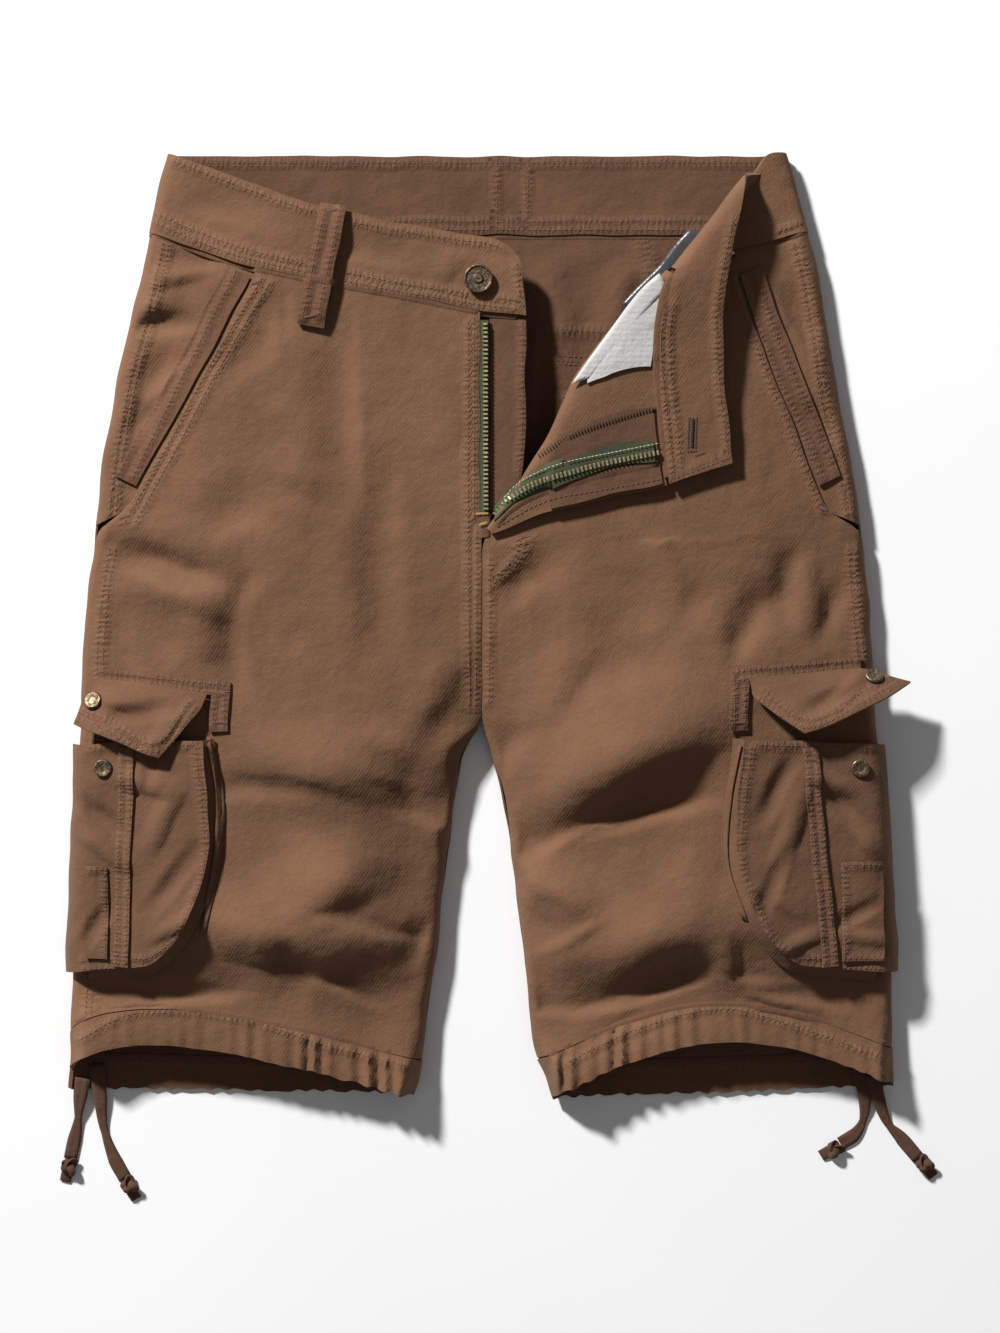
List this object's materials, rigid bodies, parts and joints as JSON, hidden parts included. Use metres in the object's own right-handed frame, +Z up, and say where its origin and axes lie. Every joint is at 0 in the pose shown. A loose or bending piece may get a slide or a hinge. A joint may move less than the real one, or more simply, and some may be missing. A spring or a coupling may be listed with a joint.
{
  "type": "cargo shorts",
  "caption": "Brown cotton cargo shorts laid flat, front up, fly open with the left front corner turned back, with cargo pockets and hem drawcords.",
  "frame": {"origin": "centre of the garment's box, cords left out, at the surface that it lies on", "axes": "+X to the wearer's left, +Y to the waist, +Z up off the surface"},
  "size_m": [0.5235, 0.6236, 0.0429],
  "materials": {
    "brown_cotton": "matte woven twill",
    "brown_inside": "matte, inside of the cloth",
    "brown_trim": "matte, stitched trim",
    "olive_zip_tape": "woven tape",
    "grey_pocket_bag": "fine ribbed lining cloth",
    "antique_brass": "dark aged",
    "cord_cotton": "matte flat tape"
  },
  "bodies": {
    "root": {"front_right": "brown_cotton", "front_left": "brown_cotton", "side_facing_right": "brown_cotton", "side_facing_left": "brown_cotton", "waistband_right": "brown_cotton", "waistband_left": "brown_cotton", "hem_front_right": "brown_cotton", "hem_front_left": "brown_cotton", "cargo_body_right": "brown_cotton", "cargo_body_left": "brown_cotton", "cargo_patch_right": "brown_cotton", "cargo_patch_left": "brown_cotton", "cargo_flap_right": "brown_cotton", "cargo_flap_left": "brown_cotton", "back_right": "brown_inside", "back_left": "brown_inside", "waistband_back": "brown_inside", "hem_back_right": "brown_inside", "hem_back_left": "brown_inside", "fly_shield": "brown_inside", "fly_facing": "brown_inside", "pocket_welt_right": "brown_trim", "pocket_welt_left": "brown_trim", "belt_loop": "brown_trim", "cargo_gusset_right": "brown_trim", "cargo_gusset_left": "brown_trim", "cargo_strap_right": "brown_trim", "cargo_strap_left": "brown_trim", "flap_tape_right": "brown_trim", "flap_tape_left": "brown_trim", "zip_tape_right": "olive_zip_tape", "zip_tape_left": "olive_zip_tape", "pocket_bag": "grey_pocket_bag", "button": "antique_brass", "snap_cap_right": "antique_brass", "snap_cap_left": "antique_brass", "snap_stud_right": "antique_brass", "snap_stud_left": "antique_brass", "drawcord_right_long": "cord_cotton", "cord_knot_right_long": "cord_cotton", "drawcord_right_short": "cord_cotton", "cord_knot_right_short": "cord_cotton", "drawcord_left_short": "cord_cotton", "cord_knot_left_short": "cord_cotton", "drawcord_left_long": "cord_cotton", "cord_knot_left_long": "cord_cotton"}
  },
  "joints": []
}
